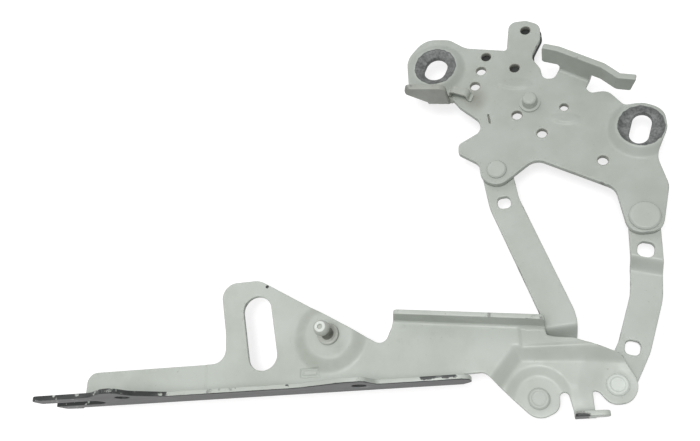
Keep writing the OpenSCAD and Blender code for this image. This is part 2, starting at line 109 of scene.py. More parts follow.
def ease(t):
    # the smooth step 3t^2 - 2t^3 between 0 and 1
    t = np.clip(t, 0, 1)
    return t * t * (3 - 2 * t)


def softened(profile, distance, blend, count=7):
    # a profile over a distance, its corners rounded by a mean
    return np.mean([profile(distance + shift) for shift in np.linspace(-blend, blend, count)], 0)


def ramped(distance, run, blend=0.9):
    # a straight ramp from 0 to 1 with rounded ends
    return softened(lambda place: np.clip(place / run, 0, 1), distance, blend)


def fillStraights(path, step, closed):
    # every leg is cut into equal parts of at most one step
    legs = np.roll(path, -1, 0) - path
    count = np.maximum(1, np.ceil(np.linalg.norm(legs, axis=1) / step)).astype(int)
    if not closed:
        count[-1] = 1
    leg = np.repeat(np.arange(len(path)), count)
    part = np.arange(count.sum()) - np.repeat(np.cumsum(count) - count, count)
    return path[leg] + legs[leg] * (part / count[leg])[:, None]


def roundCorners(corners, step, closed=True):
    # each corner (x, y, radius) gives way to the arc of that radius which touches both of its sides
    points = np.array([corner[:2] for corner in corners], float)
    radius = np.array([corner[2] for corner in corners], float)
    back, ahead = np.roll(points, 1, 0) - points, np.roll(points, -1, 0) - points
    room = 0.49 * np.minimum(np.linalg.norm(back, axis=1), np.linalg.norm(ahead, axis=1))
    back, ahead = unit(back), unit(ahead)
    half = np.arccos(np.clip((back * ahead).sum(1), -1, 1)) / 2
    cut = np.minimum(radius / np.tan(half), room)
    if not closed:
        cut[[0, -1]] = 0
    radius = cut * np.tan(half)
    nearlyStraight = 1.5705
    pieces = []
    for i, at in enumerate(points):
        if radius[i] < 1e-6 or half[i] > nearlyStraight:
            pieces.append(at[None])
            continue
        centre = at + unit(back[i] + ahead[i]) * radius[i] / math.sin(half[i])
        first, last = at + back[i] * cut[i] - centre, at + ahead[i] * cut[i] - centre
        start = math.atan2(first[1], first[0])
        sweep = (math.atan2(last[1], last[0]) - start + math.pi) % (2 * math.pi) - math.pi
        count = max(3, math.ceil(abs(sweep) * max(radius[i] / step, 4)))
        angle = start + sweep * np.linspace(0, 1, count + 1)
        pieces.append(centre + radius[i] * onCircle(angle))
    return fillStraights(np.concatenate(pieces), step, closed)


def circle(at, radius, count=48):
    angle = np.linspace(0, 2 * math.pi, count, endpoint=False)
    return np.array(at) + radius * onCircle(angle)


def stadium(at, lean, width, apart, count=28, step=1.2):
    # two half circles, apart along a line that leans from Y
    top = onCircle(np.linspace(0, math.pi, count)) * width / 2
    loop = np.concatenate([top + (0, apart / 2), -top - (0, apart / 2)])
    return fillStraights(np.array(at) + loop @ turnBy(lean), step, True)


def roundedSquare(at, side, corner, step=0.9):
    half = side / 2
    return roundCorners([(at[0] + x * half, at[1] + y * half, corner) for x, y in squareCorners], step)


def facing(loop, way):
    # anticlockwise for way 1, clockwise for way -1
    after = np.roll(loop, -1, 0)
    area = (loop[:, 0] * after[:, 1] - after[:, 0] * loop[:, 1]).sum()
    return loop if area * way > 0 else loop[::-1]


def rightHand(loop):
    # unit vectors to the right of the way round, which is out of the sheet
    along = unit(np.roll(loop, -1, 0) - np.roll(loop, 1, 0))
    return np.stack([along[:, 1], -along[:, 0]], 1)


def batches(points, size=3000):
    return np.array_split(np.arange(len(points)), len(points) // size + 1)


def insideLoops(points, loops):
    # a point is inside if a line to its right crosses the loops an odd number of times
    start = np.concatenate(loops)
    end = np.concatenate([np.roll(loop, -1, 0) for loop in loops])
    slope = (end[:, 0] - start[:, 0]) / np.where(end[:, 1] == start[:, 1], 1, end[:, 1] - start[:, 1])
    inside = np.zeros(len(points), bool)
    for batch in batches(points):
        x, y = points[batch, :1], points[batch, 1:]
        spans = (start[:, 1] > y) != (end[:, 1] > y)
        inside[batch] = (spans & (x < start[:, 0] + (y - start[:, 1]) * slope)).sum(1) % 2 == 1
    return inside


def farFrom(points, others, gap):
    far = np.zeros(len(points), bool)
    for batch in batches(points):
        away = points[batch, None] - others[None]
        far[batch] = (away ** 2).sum(2).min(1) > gap * gap
    return far


# Meshes

def addObject(name, data):
    thing = bpy.data.objects.new(name, data)
    bpy.context.scene.collection.objects.link(thing)
    return thing


def makeObject(name, points, faces, marks, body, slot, replaced, material):
    mesh = bpy.data.meshes.new(name)
    mesh.from_pydata((np.asarray(points) * mm).tolist(), [], faces)
    mesh.polygons.foreach_set("use_smooth", np.ones(len(mesh.polygons), bool))
    for mark, values in marks.items():
        field = mesh.attributes.new(mark, "FLOAT", "POINT")
        field.data.foreach_set("value", np.asarray(values, np.float32))
    mesh.materials.append(material)
    piece = addObject(name, mesh)
    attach(piece, body)
    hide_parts(replaced)
    print(name, len(points), "points")


def fieldOf(low, high, step):
    x, y = np.arange(low[0] + step / 2, high[0], step), np.arange(low[1] + step / 2, high[1], step)
    return np.stack(np.meshgrid(x, y), -1).reshape(-1, 2)


def joinMeshes(parts):
    # several closed shells in one mesh
    first = np.cumsum([0] + [len(part[0]) for part in parts])
    faces = [[corner + at for corner in face] for at, part in zip(first.tolist(), parts) for face in part[1]]
    marks = {mark: np.concatenate([part[2].get(mark, np.zeros(len(part[0]))) for part in parts])
             for mark in parts[0][2]}
    return np.concatenate([part[0] for part in parts]), faces, marks


def sheetMesh(outline, holes, place, thick, grid, edge, arcs=4, fineAreas=()):
    # place(points, depth) puts points of the flat blank into space, depth under the sheet's top. The top
    # and the underside are one triangle net over the blank; between them a rim with a quarter round at
    # each face, r(sin a, 1 - cos a), is carried round every loop.
    loops = [facing(outline, 1)] + [facing(hole, -1) for hole in holes]
    outward = [rightHand(loop) for loop in loops]
    inner = [loop - out * edge for loop, out in zip(loops, outward)]
    border = np.concatenate(inner)
    field = fieldOf(border.min(0), border.max(0), grid)
    for fineLow, fineHigh, step in fineAreas:
        kept = ((field < fineLow) | (field > fineHigh)).any(1)
        field = np.concatenate([field[kept], fieldOf(fineLow, fineHigh, step)])
    field = field[insideLoops(field, inner)]
    field = field[farFrom(field, border, 0.6 * grid)]
    first = np.cumsum([0] + [len(loop) for loop in inner])[:-1]
    rounds = [at + np.arange(len(loop)) for at, loop in zip(first, inner)]
    edges = np.concatenate([np.stack([each, np.roll(each, -1)], 1) for each in rounds])
    net = delaunay_2d_cdt(np.concatenate([border, field]).tolist(), edges.tolist(), [], 0, 1e-6, False)
    flat, tris = np.array(net[0]), np.array(net[2])
    tris = tris[insideLoops(flat[tris].mean(1), inner)]
    a, b, c = flat[tris[:, 0]], flat[tris[:, 1]], flat[tris[:, 2]]
    turn = (b - a)[:, 0] * (c - a)[:, 1] - (b - a)[:, 1] * (c - a)[:, 0]
    tris = np.where(turn[:, None] > 0, tris, tris[:, ::-1])

    quarter = np.linspace(0, math.pi / 2, arcs + 1)
    offset = edge * np.concatenate([np.sin(quarter), np.cos(quarter)])
    depth = np.concatenate([edge * (1 - np.cos(quarter)), thick - edge + edge * np.sin(quarter)])
    points = [place(flat, 0), place(flat, thick)]
    blank = [flat, flat]
    under = [np.zeros(len(flat)), np.ones(len(flat))]
    rim = [np.zeros(len(flat)), np.zeros(len(flat))]
    faces = tris.tolist() + (tris[:, ::-1] + len(flat)).tolist()
    count = 2 * len(flat)
    for each, loop, out in zip(rounds, inner, outward):
        rows = [each]
        for o, d in zip(offset[1:-1], depth[1:-1]):
            spot = loop + out * o
            points.append(place(spot, d))
            blank.append(spot)
            under.append(np.full(len(loop), d / thick))
            rim.append(np.ones(len(loop)))
            rows.append(count + np.arange(len(loop)))
            count += len(loop)
        rows = np.stack(rows + [len(flat) + each])
        ahead = np.roll(rows, -1, 1)
        faces += np.stack([rows[:-1], rows[1:], ahead[1:], ahead[:-1]], -1).reshape(-1, 4).tolist()
    marks = {"rim": np.concatenate(rim), "under": np.concatenate(under)}
    return np.concatenate(points), faces, marks, np.concatenate(blank)


def flatAt(level):
    # a place for a sheet that stays flat, its top at a level
    return lambda points, depth: np.column_stack([points, np.full(len(points), level - depth)])


def profile(corners):
    # a curve to be turned, from the axis and back to it
    return roundCorners(corners, 0.3, closed=False)


def lathe(at, curve, around=72):
    # a curve of (radius, height) from the axis and back to it, turned about Z
    ends = curve[[0, -1]]
    curve = curve[1:-1]
    ring = onCircle(np.linspace(0, 2 * math.pi, around, endpoint=False))
    grid = np.concatenate([curve[:, 0, None, None] * ring[None],
                           np.broadcast_to(curve[:, 1, None, None], (len(curve), around, 1))], 2)
    points = np.concatenate([grid.reshape(-1, 3), np.column_stack([ends * (0, 0), ends[:, 1]])])
    points[:, :2] += at
    rows = np.arange(len(curve) * around).reshape(len(curve), around)
    ahead = np.roll(rows, -1, 1)
    faces = np.stack([rows[:-1], ahead[:-1], ahead[1:], rows[1:]], -1).reshape(-1, 4).tolist()
    low = np.full(around, len(points) - 2)
    faces += np.stack([low, ahead[0], rows[0]], 1).tolist()
    faces += np.stack([low + 1, rows[-1], ahead[-1]], 1).tolist()
    return points, faces


def foldAxes(fold):
    # unit vectors along the fold line and out past it
    along = unit(np.subtract(fold["to"], fold["from"]).astype(float))
    return along, np.array([-along[1], along[0]])


def foldLength(fold):
    return math.dist(fold["from"], fold["to"])


def bendLength(fold):
    return fold["radius"] * math.radians(fold["angle"])


def foldUp(points, height, fold):
    # Past its line a flange turns up on an arc and then runs straight. At a distance s past the line the
    # turn is s / radius, up to the whole angle; a height over the sheet shortens the arc's radius.
    along, out = foldAxes(fold)
    rel = points - np.array(fold["from"], float)
    a, s = rel @ along, rel @ out
    radius, angle = fold["radius"], math.radians(fold["angle"])
    straight = a > fold.get("straightFrom", math.inf)
    taken = ((s > 0) & (a > fold["reach"][0]) & (a < fold["reach"][1])) | straight
    turn = np.where(straight, angle, np.clip(s / radius, 0, angle))
    past = np.where(turn >= angle - 1e-9, s - radius * angle, 0)
    run = (radius - height) * np.sin(turn) + past * math.cos(angle)
    rise = radius - (radius - height) * np.cos(turn) + past * math.sin(angle)
    flat = points - out * s[:, None] + out * run[:, None]
    return taken, np.column_stack([flat, fold["level"] + rise])


def onFold(fold, a, s, r):
    # a corner of a flange's flat blank: a along the fold line, s past the end of its bend
    along, out = foldAxes(fold)
    return (*(np.array(fold["from"], float) + along * a + out * (s + bendLength(fold))), r)


def isFolded(points, fold):
    return foldUp(points, np.zeros(len(points)), fold)[0]


# Materials

def addNode(tree, kind, inputs=(), **settings):
    node = tree.nodes.new(kind)
    for key, value in settings.items():
        setattr(node, key, value)
    for key, value in dict(inputs).items():
        if isinstance(value, bpy.types.NodeSocket):
            tree.links.new(value, node.inputs[key])
        else:
            node.inputs[key].default_value = value
    return node


def newMaterial(name):
    material = bpy.data.materials.new(name)
    material.use_nodes = True
    material.node_tree.nodes.clear()
    return material, material.node_tree


def noiseOf(tree, vector, scale, detail=4.0, rough=0.55, stretch=None):
    if stretch:
        vector = addNode(tree, "ShaderNodeMapping", {"Vector": vector, "Scale": stretch}).outputs[0]
    return addNode(tree, "ShaderNodeTexNoise", {"Vector": vector, "Scale": scale, "Detail": detail,
                                                "Roughness": rough}).outputs["Fac"]


def ramp(tree, value, low, high, outLow=0.0, outHigh=1.0):
    return addNode(tree, "ShaderNodeMapRange", {"Value": value, "From Min": low, "From Max": high,
                                                "To Min": outLow, "To Max": outHigh},
                   interpolation_type="SMOOTHSTEP").outputs["Result"]


def maths(tree, operation, a, b):
    return addNode(tree, "ShaderNodeMath", {0: a, 1: b}, operation=operation).outputs[0]


def times(tree, a, b):
    return maths(tree, "MULTIPLY", a, b)


def vectorMaths(tree, operation, *inputs):
    return addNode(tree, "ShaderNodeVectorMath", dict(enumerate(inputs)), operation=operation).outputs


def mixColour(tree, mask, a, b):
    return addNode(tree, "ShaderNodeMix", {"Factor": mask, 6: a, 7: b}, data_type="RGBA").outputs[2]


def mixValue(tree, mask, a, b):
    return addNode(tree, "ShaderNodeMix", {"Factor": mask, 2: a, 3: b}, data_type="FLOAT").outputs[0]


def attribute(tree, name):
    return addNode(tree, "ShaderNodeAttribute", attribute_name=name).outputs["Fac"]


def bumpOf(tree, strength, distance, height):
    return addNode(tree, "ShaderNodeBump", {"Strength": strength, "Distance": distance,
                                            "Height": height}).outputs[0]


def addShader(tree, colour, rough, metal, bump):
    shader = addNode(tree, "ShaderNodeBsdfPrincipled", {"Base Color": colour, "Roughness": rough,
                                                        "Metallic": metal, "Normal": bump})
    addNode(tree, "ShaderNodeOutputMaterial", {"Surface": shader.outputs[0]})
    return shader


paint = dict(
    colour=(0.497, 0.532, 0.490, 1), shade=(0.440, 0.470, 0.425, 1), dust=(0.36, 0.36, 0.31, 1),
    worn=(0.17, 0.17, 0.165, 1), soilAndShade=(0.22, 0.215, 0.18, 1), roughness=0.40, specular=0.42,
)
# the bracket's paint is a little darker and the arm's a little lighter than the one paint they share: painted
# shade on the bracket, painted light on the arm
bracketShadedTone = dict(paint, colour=(0.462, 0.495, 0.456, 1), shade=(0.409, 0.437, 0.395, 1))
armLitTone = dict(paint, colour=(0.527, 0.564, 0.519, 1), shade=(0.466, 0.498, 0.450, 1))
# lighter paint for the rear arm rivet's head: a painted highlight
headHighlightTone = dict(paint, colour=(0.66, 0.70, 0.66, 1), shade=(0.58, 0.61, 0.575, 1))
# on the ball stud the soil colour is a painted shade in the neck's recess, and the crown colour a painted
# highlight on the top flat
studTone = dict(paint, colour=(0.50, 0.528, 0.480, 1), shade=(0.37, 0.383, 0.345, 1),
                soilAndShade=(0.09, 0.088, 0.075, 1), crown=(0.72, 0.75, 0.71, 1))
# dark electrocoat; its colours also paint the shade on the stop lip's outer face and, in part, on the doubler
darkCoatAndShade = dict(deep=(0.034, 0.037, 0.036, 1), pale=(0.094, 0.100, 0.097, 1), bare=(0.42, 0.43, 0.44, 1),
                roughness=0.48)
seatScuff = dict(deep=(0.100, 0.106, 0.104, 1), pale=(0.25, 0.262, 0.256, 1), roughness=0.50, fray=2.0,
                 fade=0.35, borderFrom=-1.2, borderTo=-0.2, border=0.6)
washerMetal = dict(deep=(0.22, 0.22, 0.22, 1), pale=(0.42, 0.43, 0.43, 1), roughness=0.42)
bushMetal = dict(deep=(0.30, 0.20, 0.09, 1), pale=(0.52, 0.38, 0.20, 1), roughness=0.40)


def paintedSteel(name, tone=paint, coatAndShadeOn=False, seats=()):
    # satin paint with a faint orange peel, dust in patches, specks, worn rims, and soil with painted shade
    # where it is marked.
    # The coat mark lays dark electrocoat over it, in places as a painted shade; each seat is a ring scuffed
    # by a bolt's head.
    material, tree = newMaterial(name)
    spot = addNode(tree, "ShaderNodeTexCoord").outputs["Object"]
    broad = noiseOf(tree, spot, 26.0, 5.0, 0.6)
    fine = noiseOf(tree, spot, 900.0, 3.0)
    grimeAndShade = noiseOf(tree, spot, 75.0, 6.0, 0.68)
    colour = mixColour(tree, ramp(tree, broad, 0.35, 0.68), tone["colour"], tone["shade"])
    patches = times(tree, ramp(tree, grimeAndShade, 0.60, 0.80), 0.40)
    colour = mixColour(tree, patches, colour, tone["dust"])
    specks = times(tree, ramp(tree, noiseOf(tree, spot, 420.0, 2.0), 0.70, 0.76), 0.55)
    colour = mixColour(tree, specks, colour, tone["dust"])
    # the dirt mark mixes in the soil colour: real soil on the tab and the harness loop, painted shade in the
    # holes, in the slit, beside the harness loop, in the stud's neck and on the dome's slope
    soilAndShade = times(tree, attribute(tree, "dirt"), ramp(tree, grimeAndShade, 0.25, 0.75, 0.45, 1.0))
    colour = mixColour(tree, soilAndShade, colour, tone["soilAndShade"])
    rough = ramp(tree, grimeAndShade, 0.35, 0.75, tone["roughness"] - 0.06, tone["roughness"] + 0.16)
    # the crown mark takes a lighter colour: a painted highlight on the stud's top flat
    if "crown" in tone:
        colour = mixColour(tree, attribute(tree, "crown"), colour, tone["crown"])
    rimWear = times(tree, attribute(tree, "rim"), ramp(tree, grimeAndShade, 0.57, 0.66))
    colour = mixColour(tree, times(tree, rimWear, 0.75), colour, tone["worn"])
    relief = maths(tree, "ADD", times(tree, fine, 0.35), broad)
    # the coat mark: dark electrocoat, and painted shade where it marks a face in shade
    if coatAndShadeOn:
        ragged = maths(tree, "ADD", attribute(tree, "coat"),
                       times(tree, noiseOf(tree, spot, 160.0, 6.0, 0.7), 0.9))
        mask = ramp(tree, ragged, 0.93, 1.02)
        streak = noiseOf(tree, spot, 55.0, 6.0, 0.7, (0.35, 1.0, 1.6))
        dark = mixColour(tree, ramp(tree, streak, 0.42, 0.72), darkCoatAndShade["deep"], darkCoatAndShade["pale"])
        scratch = noiseOf(tree, spot, 150.0, 3.0, 0.6, (0.12, 1.0, 1.0))
        dark = mixColour(tree, ramp(tree, scratch, 0.66, 0.72), dark, darkCoatAndShade["bare"])
        chips = times(tree, ramp(tree, noiseOf(tree, spot, 210.0, 4.0), 0.60, 0.66), attribute(tree, "chips"))
        dark = mixColour(tree, chips, dark, tone["colour"])
        colour = mixColour(tree, mask, colour, dark)
        rough = mixValue(tree, mask, rough, darkCoatAndShade["roughness"])
    for at, reach in seats:
        away = vectorMaths(tree, "SUBTRACT", spot, (at[0] * mm, at[1] * mm, 0))[0]
        away = vectorMaths(tree, "MULTIPLY", away, (1, 1, 0))[0]
        ray = vectorMaths(tree, "NORMALIZE", away)[0]
        spread = vectorMaths(tree, "LENGTH", away)["Value"]
        fray = times(tree, noiseOf(tree, spot, 260.0, 4.0), seatScuff["fray"] * mm)
        ragged = maths(tree, "ADD", spread, fray)
        mask = ramp(tree, ragged, reach * mm, (reach + seatScuff["fade"]) * mm, 1.0, 0.0)
        border = ramp(tree, ragged, (reach + seatScuff["borderFrom"]) * mm,
                      (reach + seatScuff["borderTo"]) * mm, 0.0, seatScuff["border"])
        rays = times(tree, noiseOf(tree, ray, 2.6, 1.0), 0.4)
        blotch = noiseOf(tree, spot, 620.0, 4.0, 0.7)
        mottle = ramp(tree, maths(tree, "ADD", rays, times(tree, blotch, 0.7)), 0.38, 0.74)
        steel = mixColour(tree, mottle, seatScuff["deep"], seatScuff["pale"])
        steel = mixColour(tree, border, steel, seatScuff["deep"])
        colour = mixColour(tree, mask, colour, steel)
        rough = mixValue(tree, mask, rough, seatScuff["roughness"])
        relief = maths(tree, "ADD", relief, times(tree, mask, blotch))
    shader = addShader(tree, colour, rough, 0.0, bumpOf(tree, 0.25, 0.22 * mm, relief))
    shader.inputs["Specular IOR Level"].default_value = tone["specular"]
    return material


def turnedMetal(name, metal):
    # fine turning lines and a mottled tarnish on bare metal
    material, tree = newMaterial(name)
    spot = addNode(tree, "ShaderNodeTexCoord").outputs["Object"]
    lines = noiseOf(tree, spot, 260.0, 3.0, 0.6, (0.15, 0.15, 4.0))
    tarnish = noiseOf(tree, spot, 240.0, 5.0, 0.65)
    colour = mixColour(tree, ramp(tree, tarnish, 0.38, 0.70), metal["pale"], metal["deep"])
    rough = ramp(tree, tarnish, 0.3, 0.7, metal["roughness"] - 0.08, metal["roughness"] + 0.12)
    addShader(tree, colour, rough, 1.0, bumpOf(tree, 0.2, 0.1 * mm, lines))
    return material


# Body bracket

plateLow = lowHigh("doubler_plate")[1]
bracket = dict(
    thick=4.0, grid=1.05, edge=0.6, rearBolt=(127.5, -68), boltHole=15.5, frontPlay=3.0, frontLean=-25.0,
    slotWide=12.0, slotPlay=10.5, slotLean=-20.0, shankHole=8.1, guideHole=6.1,
    # conical bosses with dished bolt seats
    seat=28.6, seatDish=3.4, seatLedge=2.0, lipIn=0.6, lipOut=0.9, bossBase=41.0, bossRise=5.0, bossBlend=0.9,
    tab=dict(height=20.0, wing=14.0, wingTip=7.0, root=-3.93),
    punch=6.6, smallPunch=5.4, smallPunchAt=(83, -44.3),
    punches=[(31.3, -6.2), (26.2, -17.8), (52.1, -45.5), (66.7, -61.7), (101.8, -86.9), (35.7, 4.8),
             (54.2, -7.9), (64.6, 22)],
    slit=dict(at=(33.5, -45.2), lean=5.0, wide=1.1, apart=6.4, deep=2.2, spare=1.6),
    # shallow bumps: middle, turn, half length, half width, height
    bumps=[((53.4, -20.6), -11.0, 12.5, 5.0, 1.5), ((83.2, -53.2), -11.0, 10.5, 4.6, 1.6)],
    bumpRim=0.42, bumpTilt=0.45,
    # soil on the tab, painted shade on the walls of the holes and a painted shadow beside the harness loop
    tabDirt=0.45, holeShade=0.75, loopShadow=dict(at=(25.5, -28.0), reach=(11.5, 14.0), level=0.85),
)
plateTop = plateLow + bracket["thick"]
# the strike flange stands on the plate's edge from one point to the other and bends along its own path
strike = {
    "from": (82.6, -15.5), "to": (100.5, -28), "thick": 4.0, "radius": 1.6, "low": 7.0, "leftLow": 4.4,
    "high": 20.2, "tip": 2.6, "tuck": 1.5, "sink": 0.05,
    "path": [(72.5, -9, 0), (82, -13.2, 8), (102, -27.2, 6), (107.5, -31, 6), (116, -40.5, 6),
             (124.5, -43, 0)],
}
# scuffed rings: middle and reach
seatRings = [((0, 0), 15.4), (bracket["rearBolt"], 15.2)]
tab = bracket["tab"]
tabFold = {"from": (8.5, -23.5), "to": (-6, -21), "radius": 2.5, "angle": 90.0, "level": plateTop,
           "reach": (-2, 40)}
tabLong = foldLength(tabFold)
tabTop = tab["height"] - tabFold["radius"]
tabWing = tabLong + tab["wing"]


def near(centre, corners):
    return [(centre[0] + x, centre[1] + y, r) for x, y, r in corners]


bracketCorners = (
    [onFold(tabFold, tabLong, 0, 1.2), onFold(tabFold, tabLong, tab["root"], 1.2),
     (-20.3, -17, 12), (-20.5, 13, 16), (-7, 28, 15), (11, 24.5, 12), (22, 15, 14), (50.3, 7.5, 2),
     (54, 31, 6), (66, 30.5, 7), (75, 25, 7), (74, 13, 10), (66, -1, 7), (71.2, -11, 6), (72, -20, 5.4),
     (79.7, -20.6, 5.0), (*strike["from"], 0.4), (*strike["to"], 0.8), (98.4, -31.8, 2.5), (101.2, -36, 3)]
    + near(bracket["rearBolt"], [(-15.5, 32, 8), (-6.5, 18.6, 8), (5, 17.4, 10), (15.9, 11.2, 12),
                                 (15.3, -3.6, 10), (6.6, -20, 16)])
    + near(rearPivot, [(17.5, 19, 14), (9, -10.5, 9.5), (-10.5, -10.5, 9.5), (-14, 21, 9)])
    + near(frontPivot, [(25.5, 5, 10), (0.7, -12.2, 10.6), (-10.6, -6.2, 10.6), (-11, 6, 6), (-24, 15.5, 3),
                        (-23.5, 22.5, 4), (-7.5, 30.5, 6), (-8.3, 39, 7)])
    + [(14.5, -33, 4), onFold(tabFold, 0, tab["root"], 1.2), onFold(tabFold, 0.8, tabTop, 5.0),
       onFold(tabFold, tabWing, tabTop, 3.0), onFold(tabFold, tabWing, tabTop - tab["wingTip"], 3.0)]
)


def bossHeight(points, at, mouth):
    # a conical boss with a dished seat, as a softened profile over the distance from its bolt
    away = np.hypot(points[:, 0] - at[0], points[:, 1] - at[1])
    seat, rim = bracket["seat"] / 2, bracket["bossRise"]
    dish = rim - bracket["seatDish"]
    radii = [0, mouth / 2, seat - bracket["lipIn"], seat + bracket["lipOut"], bracket["bossBase"] / 2]
    heights = [dish, dish, rim, rim, 0]
    return softened(lambda place: np.interp(place, radii, heights), away, bracket["bossBlend"])


def bumpHeight(points, at, turn, long, wide, high):
    # an oval bump, highest towards its lower side
    u, v = ((points - at) @ turnBy(-turn)).T
    inside = ease((1 - np.hypot(u / long, v / wide)) / bracket["bumpRim"])
    tilt = bracket["bumpTilt"]
    return high * inside * np.clip(1 - tilt - tilt * v / wide, 0, 1)


def bracketPlace(points, depth):
    height = (bossHeight(points, (0, 0), bracket["boltHole"] + bracket["seatLedge"])
              + bossHeight(points, bracket["rearBolt"],
                           bracket["slotWide"] + bracket["slotPlay"] + bracket["seatLedge"]))
    for bump in bracket["bumps"]:
        height = height + bumpHeight(points, *bump)
    flat = np.column_stack([points, plateTop + height - depth])
    taken, folded = foldUp(points, -depth * np.ones(len(points)), tabFold)
    return np.where(taken[:, None], folded, flat)


def pathReader(path, step=0.5):
    # place and left-hand normal along a rounded path, by the length run
    line = roundCorners(path, step, closed=False)
    run = np.concatenate([[0], np.cumsum(np.linalg.norm(np.diff(line, axis=0), axis=1))])
    along = unit(np.gradient(line, axis=0))

    def read(length):
        at = np.column_stack([np.interp(length, run, line[:, i]) for i in (0, 1)])
        way = unit(np.column_stack([np.interp(length, run, along[:, i]) for i in (0, 1)]))
        over = np.where(length < 0, length, np.where(length > run[-1], length - run[-1], 0))
        return at + way * over[:, None], np.column_stack([-way[:, 1], way[:, 0]])

    return read, run[-1]


def strikeMesh():
    # upright along its path; below, the root bends on an arc into the plate's edge and ends inside it
    read, length = pathReader(strike["path"])
    radius = strike["radius"]
    bend = radius * math.pi / 2
    first = np.array(strike["path"][1][:2], float)
    way = unit(np.subtract(strike["path"][2][:2], first))
    before = math.dist(strike["path"][0][:2], first)
    left, right = (before + float((np.array(strike[end]) - first) @ way) for end in ("from", "to"))
    low, leftLow, high = (strike[level] - radius for level in ("low", "leftLow", "high"))
    foot = -bend - strike["tuck"]

    def strikePlace(points, depth):
        at, side = read(points[:, 0])
        up = points[:, 1]
        turn = np.clip(-up / radius, 0, math.pi / 2)
        tuck = np.maximum(-up - bend, 0)
        out = (radius + depth) * np.cos(turn) - radius - tuck
        rise = radius - (radius + depth) * np.sin(turn) + np.maximum(up, 0)
        return np.column_stack([at + side * out[:, None], plateTop - strike["sink"] + rise])

    corners = [(left, foot, 0.8), (right, foot, 0.8), (right, low, 2), (length, low, 1.2),
               (length + strike["tip"], high, 1.2), (0, high, 2), (0, leftLow, 2), (left, leftLow, 2)]
    return sheetMesh(roundCorners(corners, 0.8), [], strikePlace, strike["thick"], 0.9, 0.5)[:3]


doubler = dict(thick=plateLow - lowHigh("doubler_plate")[0], grid=1.6, edge=0.4, corners=[
    (29, 12.5, 3), (51, 6.8, 3), (56, 29, 5), (75.5, 24.5, 6), (75.3, 14, 8), (68.5, 2, 6), (67, -15, 4),
    (42, -14, 4)])
harnessLoop = dict(at=(15.6, -24.2), turn=-25.0, thick=1.4, wide=5.6, corner=1.0, dirt=0.25, path=[
    (-9, 1.4, 0), (-7.1, 1.4, 1.0), (-6.4, 7.4, 5.0), (6.4, 7.4, 5.0), (7.1, 1.4, 1.0), (9, 1.4, 0)])


def loopMesh():
    # a strip bent along an arch, in an upright plane that is turned about Z
    read, length = pathReader(harnessLoop["path"], 0.25)
    half, corner = harnessLoop["wide"] / 2, harnessLoop["corner"]
    along, across = turnBy(harnessLoop["turn"])

    def loopPlace(points, depth):
        at, side = read(points[:, 0])
        at = at - side * depth
        flat = np.array(harnessLoop["at"]) + at[:, :1] * along + points[:, 1:] * across
        return np.column_stack([flat, plateTop + at[:, 1]])

    corners = [(0, -half, corner), (length, -half, corner), (length, half, corner), (0, half, corner)]
    return sheetMesh(roundCorners(corners, 0.5), [], loopPlace, harnessLoop["thick"], 0.5, 0.3)[:3]


# Rivets and studs, turned about their axes

pin = dict(shank=4.0, headHigh=2.2, tailHigh=3.0, headRound=0.9, dishOut=0.72, dishIn=0.60)


def rivetCurve(node, dish=0.0):
    # tail, shank and crowned head; a dished head falls by dish towards its middle
    low, high = lowHigh(node)
    wide, shank, headRound = halfWide(node), pin["shank"], pin["headRound"]
    tail, head = low + pin["tailHigh"], high - pin["headHigh"]
    face = [(wide - 1.1, high - 0.05, headRound), (0, high, 0)]
    if dish:
        face = [(wide - 1.0, high, 0.7), (pin["dishOut"] * wide, high, 0.6),
                (pin["dishIn"] * wide, high - dish, 0.8), (0, high - dish, 0)]
    return profile([(0, low, 0), (wide - 1.2, low, 0.8), (wide, low + 1.3, 0.8), (wide, tail, 0.2),
                    (shank, tail, 0.1), (shank, head, 0.1), (wide, head, 0.25), (wide, high - 1.0, headRound)]
                   + face)


def guideCurve():
    low, high = lowHigh("guide_rivet")
    wide, shank = halfWide("guide_rivet"), bracket["guideHole"] / 2 - 0.1
    collar = lowHigh("guide_collar")[1]
    return profile([(0, low, 0), (wide - 0.8, low, 0.6), (wide, low + 0.8, 0.5), (wide, plateLow, 0.2),
                    (shank, plateLow, 0.1), (shank, collar, 0.1), (wide, collar, 0.3),
                    (wide - 0.25, high - 0.9, 0.8), (wide - 1.3, high, 1.2), (0, high, 0)])


# crown: from the ball's middle to the top of its solid; the flat here lies a little lower. The painted shade
# on the neck reaches a little past it and stops some way under the top.
stud = dict(ball=5.0, crown=4.77, topFlat=3.3, recess=1.7, recessDeep=0.9, neck=3.2, neckTop=5.6, waist=2.6,
            collar=7.0, collarHigh=2.4, tail=4.5, tailHigh=1.8, shadeReach=0.8, shadeTop=6.0, flatDeep=0.15)


def studCurve():
    # tail under the washer, collar on the dome, a waisted neck and a ball with a recessed flat
    low, high = lowHigh("ball_stud")
    middle = high - stud["crown"]
    tail, tailTop = stud["tail"], low + stud["tailHigh"]
    neck, collar, seat = stud["neck"], stud["collar"], webTop + arm["domeRise"]
    collarTop = seat + stud["collarHigh"]
    foot = profile([(0, low, 0), (tail - 0.6, low, 0.5), (tail, low + 0.7, 0.4), (tail, tailTop, 0.2),
                    (neck, tailTop, 0.1), (neck, seat, 0.1), (collar, seat, 0.3),
                    (collar, collarTop - 0.3, 0.7), (collar - 1.3, collarTop, 0.9),
                    (neck + 0.9, collarTop, 0.4), (neck, collarTop + 1.2, 0.5),
                    (stud["waist"], middle - stud["neckTop"], 1.0)])
    start, end = -math.acos(stud["waist"] / stud["ball"]), math.acos(stud["topFlat"] / stud["ball"])
    angle = np.linspace(start, end, 40)
    ball = np.column_stack([stud["ball"] * np.cos(angle), middle + stud["ball"] * np.sin(angle)])
    top, recess, deep = ball[-1, 1], stud["recess"], stud["recessDeep"]
    socket = profile([(stud["topFlat"] - 0.3, top + 0.1, 0), (recess, top + 0.1, 0.2),
                      (recess - 0.3, top - deep, 0.2), (0, top - deep, 0)])
    return np.concatenate([foot, ball, socket])


# Bonnet arm, drawn about its front pivot

